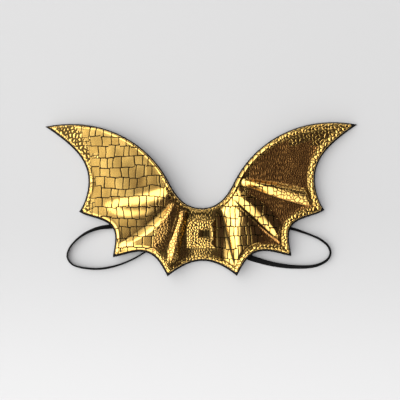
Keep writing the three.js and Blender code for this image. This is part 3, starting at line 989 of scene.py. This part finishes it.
def emboss_tree():
    sizes = {"Tile depth": "NodeSocketFloat", "Foil": "NodeSocketMaterial"}
    tree, start, end = new_tree("tile_emboss", sizes)
    position = add_node(tree, "GeometryNodeInputPosition").outputs[0]
    place = vector_calc(tree, "SCALE", {0: position, "Scale": 1 / MM})
    rim = named_value(tree, "rim")
    gap, _, _, flat, _ = tile_chart(tree, place, named_value(tree, "rib"), rim)
    boldness = ramp(tree, named_value(tree, "bold"), 0, 1, LOW_EMBOSS, 1)
    rise = calc(tree, "MULTIPLY", tile_rise(tree, gap, flat), boldness)
    held = calc(tree, "MULTIPLY", rise, ramp(tree, rim, 0.0, EMBOSS_START))
    depth = calc(tree, "MULTIPLY", held, start.outputs["Tile depth"])
    normal = add_node(tree, "GeometryNodeInputNormal").outputs[0]
    offset = vector_calc(tree, "SCALE", {0: normal, "Scale": depth})
    moved = add_node(tree, "GeometryNodeSetPosition", {"Geometry": start.outputs[0], "Offset": offset})
    finish_tree(tree, moved.outputs[0], start.outputs["Foil"], end)
    return tree


emboss = emboss_tree()
print("nodes in the emboss:", len(emboss.nodes))

# %% [markdown]
# ## Gold foil leather
# The leather has a metal foil on top, so the material is a metal with a satin gloss and a thin clear coat.
# In the grooves and seams the foil is worn dark and dull, and the creases and the dent in the square are
# painted dark as shade. Fine grain, the slope of each tile and the roundness of its edges come as bump in real
# millimetres, as they are finer than the mesh.


# %% Start a material
def new_material(name):
    material = bpy.data.materials.new(name)
    material.use_nodes = True
    tree = material.node_tree
    return material, tree, tree.nodes["Principled BSDF"]


def object_place(tree):
    """Object coordinates in millimetres."""
    place = add_node(tree, "ShaderNodeTexCoord").outputs["Object"]
    return vector_calc(tree, "SCALE", {0: place, "Scale": 1 / MM})


def speckle(tree, place, size):
    inputs = {"Vector": place, "Scale": 1 / size, "Detail": 2.0}
    return add_node(tree, "ShaderNodeTexNoise", inputs).outputs[0]


def mix_colour(tree, factor, first, second):
    node = add_node(tree, "ShaderNodeMix", {0: factor, 6: first, 7: second}, data_type="RGBA")
    return node.outputs[2]


def set_bump(tree, shader, height):
    """Bump with its height in millimetres."""
    bump = add_node(tree, "ShaderNodeBump", {"Strength": 1.0, "Distance": MM, "Height": height})
    tree.links.new(bump.outputs[0], shader.inputs["Normal"])


# %% Mix the gold foil
GOLD_PALE = (0.94, 0.625, 0.18, 1)
GOLD_DEEP = (0.88, 0.52, 0.12, 1)
# Painted shade: a darker, browner gold, mostly on the right panels and in the valley by the third left rib,
# which look dark from the dark side of the room.
GOLD_SHADE_BROWN = (0.76, 0.37, 0.10, 1)
GROOVE_DARK = (0.010, 0.007, 0.003, 1)
SHADE_BROWN_INK = (0.65, 0.85)
BEAD_GROOVE, TILE_GROOVE = (0.14, 0.4), (0.26, 0.48)
# The seam mark paints the stitch and rim seam lines dark, and paints shade into the creases and the dent.
SEAM_AND_SHADE_INK = 0.96
MOTTLE_SIZE, SATIN_SIZE, GRAIN_SIZE = 5.0, 1.1, 0.7
SATIN, SATIN_SPREAD, GROOVE_DULLNESS = 0.13, 0.10, 0.3
COAT, COAT_ROUGHNESS = 0.06, 0.2
BEAD_BUMP, TILE_BUMP = (0.11, 0.14), (0.012, 0.08)
SLOPE_BUMP, GRAIN_BUMP = 0.02, 0.008


def foil_colour(tree, place, tone, ink, groove):
    """Mottled gold, painted browner as shade where the ink is thin, and dark in the grooves."""
    half_tone = calc(tree, "MULTIPLY", tone, 0.5)
    mottled = calc(tree, "MULTIPLY_ADD", speckle(tree, place, MOTTLE_SIZE), 0.5, half_tone)
    gold = mix_colour(tree, mottled, GOLD_DEEP, GOLD_PALE)
    gold = mix_colour(tree, ramp(tree, ink, *SHADE_BROWN_INK, 1, 0), gold, GOLD_SHADE_BROWN)
    return mix_colour(tree, groove, gold, GROOVE_DARK)


def foil_height(tree, place, gap, lean, flat, bold):
    """The bump of the scales, their slopes and the fine grain, in millimetres."""
    round_depth = ramp(tree, bold, 0.0, 1.0, *BEAD_BUMP)
    depth = choose(tree, flat, round_depth, ramp(tree, bold, 0.0, 1.0, *TILE_BUMP))
    height = calc(tree, "MULTIPLY", tile_rise(tree, gap, flat), depth)
    height = calc(tree, "MULTIPLY_ADD", lean, SLOPE_BUMP, height)
    return calc(tree, "MULTIPLY_ADD", speckle(tree, place, GRAIN_SIZE), GRAIN_BUMP, height)


def gold_foil():
    material, tree, shader = new_material("gold_foil_leather")
    place = object_place(tree)
    marks = ("rib", "bold", "rim", "seam")
    rib, bold, rim, seam = [
        add_node(tree, "ShaderNodeAttribute", attribute_name=mark).outputs["Fac"] for mark in marks
    ]
    gap, tone, lean, flat, ink = tile_chart(tree, place, rib, rim)
    groove = choose(tree, flat, ramp(tree, gap, *BEAD_GROOVE, 1, 0), ramp(tree, gap, *TILE_GROOVE, 1, 0))
    groove = calc(tree, "MULTIPLY", groove, ink)
    # Seam lines, and painted shade in the creases and the dent, darken the foil like the grooves.
    groove = calc(tree, "MAXIMUM", groove, calc(tree, "MULTIPLY", seam, SEAM_AND_SHADE_INK))
    tree.links.new(foil_colour(tree, place, tone, ink, groove), shader.inputs["Base Color"])
    shader.inputs["Metallic"].default_value = 1.0
    satin = calc(tree, "MULTIPLY_ADD", speckle(tree, place, SATIN_SIZE), SATIN_SPREAD, SATIN)
    dull = calc(tree, "MULTIPLY_ADD", groove, GROOVE_DULLNESS, satin)
    tree.links.new(dull, shader.inputs["Roughness"])
    shader.inputs["Coat Weight"].default_value = COAT
    shader.inputs["Coat Roughness"].default_value = COAT_ROUGHNESS
    set_bump(tree, shader, foil_height(tree, place, gap, lean, flat, bold))
    return material


foil = gold_foil()
print("nodes in the foil:", len(foil.node_tree.nodes))

# %% Emboss the front
TILE_DEPTH = 0.12


def run_tree(piece, tree, sizes):
    """Run a tree on a piece with these sizes and keep the result as its plain mesh."""
    modifier = piece.modifiers.new(tree.name, "NODES")
    modifier.node_group = tree
    for item in tree.interface.items_tree:
        if item.in_out == "INPUT" and item.name in sizes:
            modifier[item.identifier] = sizes[item.name]
    bpy.context.view_layer.update()
    evaluated = piece.evaluated_get(bpy.context.evaluated_depsgraph_get())
    mesh = bpy.data.meshes.new_from_object(evaluated)
    name = piece.name
    bpy.data.objects.remove(piece)
    made = bpy.data.objects.new(name, mesh)
    bpy.context.scene.collection.objects.link(made)
    return made


front = run_tree(front, emboss, {"Tile depth": TILE_DEPTH * MM, "Foil": foil})
print("embossed front triangles:", len(front.data.polygons))

# %% [markdown]
# ## The black back
# The back is plain black cloth, cut a little larger than the gold, so a thin black line shows all round. It
# is one thin closed sheet that bends with the wings. Its weave is too fine for a mesh, so it is bump in the
# material.

# %% Cut the back
BACK_STEP = 2.0
BACK_EDGE_STEP = 0.9


def back_top(spots):
    return wing_lift(spots[:, 0]) + BACK_THICKNESS


def back_underside(spots):
    return wing_lift(spots[:, 0])


back_edge = wing_outline(BACK_EDGE_STEP)
back, _ = closed_sheet("back", back_edge, BACK_STEP, BACK_STEP, back_top, back_underside)
print("back triangles:", len(back.data.polygons))

# %% Weave the black cloth
BACK_BLACK, BACK_THREAD = (0.008, 0.008, 0.008, 1), 0.5
CLOTH_SHADE = 0.6
CLOTH_SPECKLE, WEAVE_SHADE, WEAVE_BUMP = 3.0, 0.25, 0.05
CLOTH_ROUGHNESS, CLOTH_GLOSS = 0.9, 0.15


def wave(tree, value, length):
    return calc(tree, "SINE", calc(tree, "MULTIPLY", value, 2 * math.pi / length))


def matte(tree, shader, colour, roughness, gloss):
    tree.links.new(colour, shader.inputs["Base Color"])
    shader.inputs["Roughness"].default_value = roughness
    shader.inputs["Specular IOR Level"].default_value = gloss


def black_cloth(name, colour, thread):
    material, tree, shader = new_material(name)
    place = object_place(tree)
    x, y = separate(tree, place)
    weave = calc(tree, "MULTIPLY", wave(tree, x, thread), wave(tree, y, thread))
    shade = calc(tree, "MULTIPLY_ADD", weave, WEAVE_SHADE, speckle(tree, place, CLOTH_SPECKLE))
    dark = tuple(CLOTH_SHADE * value for value in colour[:3]) + (1,)
    matte(tree, shader, mix_colour(tree, shade, dark, colour), CLOTH_ROUGHNESS, CLOTH_GLOSS)
    set_bump(tree, shader, calc(tree, "MULTIPLY", weave, WEAVE_BUMP))
    return material


back.data.materials.append(black_cloth("black_back_cloth", BACK_BLACK, BACK_THREAD))
print("cloth:", back.data.materials[0].name)

# %% [markdown]
# ## The patch behind the square
# A square of black cloth behind the stitched square holds the ends of the elastic. Its upper and lower edges
# are sewn to the back, and its sides are open, so it is a shallow trough. One sheet bent up at two edges
# gives that shape.

# %% Sew on the patch
PATCH_CENTRE = (0.0, -24.7)
PATCH_SIDE = 24.0
PATCH_CLOTH = 0.9
PATCH_RISE = 1.75
PATCH_BEND = (2.6, 1.0)
PATCH_STEP = 0.6
PATCH_BLACK, PATCH_THREAD = (0.016, 0.016, 0.017, 1), 0.7


def patch_underside(spots):
    inside = PATCH_SIDE / 2 - np.abs(spots[:, 1] - PATCH_CENTRE[1])
    return PATCH_RISE * smooth(-inside, -PATCH_BEND[0], -PATCH_BEND[1])


def patch_top(spots):
    return patch_underside(spots) + PATCH_CLOTH


def patch_edge():
    half = PATCH_SIDE / 2
    signs = [(-1, -1), (1, -1), (1, 1), (-1, 1), (-1, -1)]
    places = half * np.array(signs, float)
    sides = [even(pair, PATCH_STEP) for pair in zip(places, places[1:])]
    return np.concatenate(sides) + PATCH_CENTRE


patch, _ = closed_sheet("patch", patch_edge(), PATCH_STEP, PATCH_STEP, patch_top, patch_underside)
patch.data.materials.append(black_cloth("black_patch_cloth", PATCH_BLACK, PATCH_THREAD))
print("patch triangles:", len(patch.data.polygons))

# %% [markdown]
# ## Black elastic
# Braided elastic has small slanted threads between its ridges. The band's own UV map runs in millimetres
# along and across it, so the threads follow the band round the loop.

# %% Braid the elastic
THREAD_LENGTH = 0.8
THREAD_DARK, THREAD_PALE = (0.002, 0.002, 0.002, 1), (0.006, 0.006, 0.006, 1)
THREAD_SHADE, THREAD_BUMP = 0.3, 0.05
ELASTIC_ROUGHNESS, ELASTIC_GLOSS = 0.75, 0.06


def black_elastic():
    material, tree, shader = new_material("black_elastic")
    along, across = separate(tree, add_node(tree, "ShaderNodeUVMap", uv_map="band").outputs[0])
    zigzag = calc(tree, "PINGPONG", across, BAND_WIDTH / BAND_RIDGES)
    thread = wave(tree, calc(tree, "ADD", along, zigzag), THREAD_LENGTH)
    shade = calc(tree, "MULTIPLY_ADD", thread, THREAD_SHADE, 0.5)
    colour = mix_colour(tree, shade, THREAD_DARK, THREAD_PALE)
    matte(tree, shader, colour, ELASTIC_ROUGHNESS, ELASTIC_GLOSS)
    set_bump(tree, shader, calc(tree, "MULTIPLY", thread, THREAD_BUMP))
    return material


elastic = black_elastic()
for loop in (left_loop, right_loop):
    loop.data.materials.append(elastic)
print("elastic:", [loop.name for loop in (left_loop, right_loop)])

# %% [markdown]
# ## The table and the light
# The table is pale and plain, with a painted pool of light that makes it a little paler on its near side. Gold
# foil shows the room around it more than the lamps, so most of the light is the room: dark overhead and to the
# right, and bright on the left and the near side, so that whatever leans to the left shines. One soft lamp on
# the upper left gives the shadows to the right. A wide one straight above softens them, and the foil doesn't
# reflect that one.

# %% Lay the table
FLOOR_SIDE = 3000.0
# The near side of the table is painted paler, a painted pool of light in its colour.
FLOOR_PALE, FLOOR_PAINTED_LIGHT = (0.43, 0.43, 0.43, 1), (0.518, 0.518, 0.518, 1)
PAINTED_LIGHT_FROM, PAINTED_LIGHT_TO = 0.0, -165.0
FLOOR_ROUGHNESS, FLOOR_GLOSS = 0.9, 0.1

half_floor = FLOOR_SIDE / 2
floor_signs = [(-1, -1), (1, -1), (1, 1), (-1, 1)]
floor_corners = [(half_floor * x, half_floor * y, 0) for x, y in floor_signs]
floor = make_piece("floor", floor_corners, [(0, 1, 2, 3)])
floor_paint, floor_tree, floor_shader = new_material("pale_table")
_, floor_y = separate(floor_tree, object_place(floor_tree))
painted_light = ramp(floor_tree, floor_y, PAINTED_LIGHT_TO, PAINTED_LIGHT_FROM, 1.0, 0.0)
floor_colour = mix_colour(floor_tree, painted_light, FLOOR_PALE, FLOOR_PAINTED_LIGHT)
matte(floor_tree, floor_shader, floor_colour, FLOOR_ROUGHNESS, FLOOR_GLOSS)
floor.data.materials.append(floor_paint)
print("table side in mm:", FLOOR_SIDE)

# %% Darken and brighten the room
DARK_TILT = math.radians(50.0)
DARK_REACH = (math.radians(54.0), math.radians(66.5))
DARK_LEVEL, WALL_LEVEL = 0.04, 0.9
DARK_TINT, WALL_TINT = (1.0, 0.72, 1.0, 1), (1, 1, 1, 1)
LEFT_AXIS = (-0.75, -0.66, 0.0)
LEFT_REACH = (0.35, 0.65)
LEFT_LEVEL = 1.7
HORIZON_REACH = (0.14, 0.32)
HORIZON_LEVEL = 0.5

world = bpy.data.worlds.new("studio_room")
world.use_nodes = True
bpy.context.scene.world = world
room = world.node_tree
background = room.nodes["Background"]
direction = add_node(room, "ShaderNodeTexCoord").outputs["Generated"]


def lined_up(axis):
    """How well a direction in the room lines up with an axis."""
    node = add_node(room, "ShaderNodeVectorMath", {0: direction, 1: axis}, operation="DOT_PRODUCT")
    return node.outputs["Value"]


from_dark = calc(room, "ARCCOSINE", lined_up((math.sin(DARK_TILT), 0.0, math.cos(DARK_TILT))))
level = ramp(room, from_dark, *DARK_REACH, DARK_LEVEL, WALL_LEVEL)
_, _, up = add_node(room, "ShaderNodeSeparateXYZ", {0: direction}).outputs
level = calc(room, "MAXIMUM", level, ramp(room, up, *HORIZON_REACH, HORIZON_LEVEL, 0.0))
left_glow = ramp(room, lined_up(LEFT_AXIS), *LEFT_REACH, 0.0, LEFT_LEVEL)
room.links.new(calc(room, "ADD", level, left_glow), background.inputs["Strength"])
tint = mix_colour(room, ramp(room, level, DARK_LEVEL, WALL_LEVEL / 2), DARK_TINT, WALL_TINT)
room.links.new(tint, background.inputs["Color"])
print("nodes in the room:", len(room.nodes))

# %% Hang the lamps
LAMP_PLACE = (-1470.0, 700.0, 1760.0)
LAMP_LENGTH, LAMP_WIDTH, LAMP_POWER = 3000.0, 1700.0, 40.0
TOP_PLACE = (0.0, 0.0, 2200.0)
TOP_SIDE, TOP_POWER = 1600.0, 30.0


def hang_lamp(name, place, length, width, power):
    """A soft rectangular lamp that faces the middle of the table."""
    data = bpy.data.lights.new(name, "AREA")
    data.energy = power
    data.shape = "RECTANGLE"
    data.size = length * MM
    data.size_y = width * MM
    lamp = bpy.data.objects.new(name, data)
    lamp.location = Vector(place) * MM
    lamp.rotation_euler = (-Vector(place)).to_track_quat("-Z", "Y").to_euler()
    bpy.context.scene.collection.objects.link(lamp)
    return lamp


hang_lamp("soft_lamp", LAMP_PLACE, LAMP_LENGTH, LAMP_WIDTH, LAMP_POWER)
top_lamp = hang_lamp("top_lamp", TOP_PLACE, TOP_SIDE, TOP_SIDE, TOP_POWER)
top_lamp.visible_glossy = False
bpy.context.scene.view_settings.view_transform = "Standard"
print("lamps:", sorted(light.name for light in bpy.data.lights))

# %% [markdown]
# ## Hand the pieces to the frame
# Every piece rides on the one body and stands for its CAD node, which is hidden.

for piece, node, slot in [
    (front, "front_cover", "gold_leather"),
    (back, "back_cover", "black_cloth"),
    (patch, "strap_patch", "patch_cloth"),
    (left_loop, "leg_loop_left", "elastic"),
    (right_loop, "leg_loop_right", "elastic"),
]:
    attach(piece, "root")
    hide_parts(node)
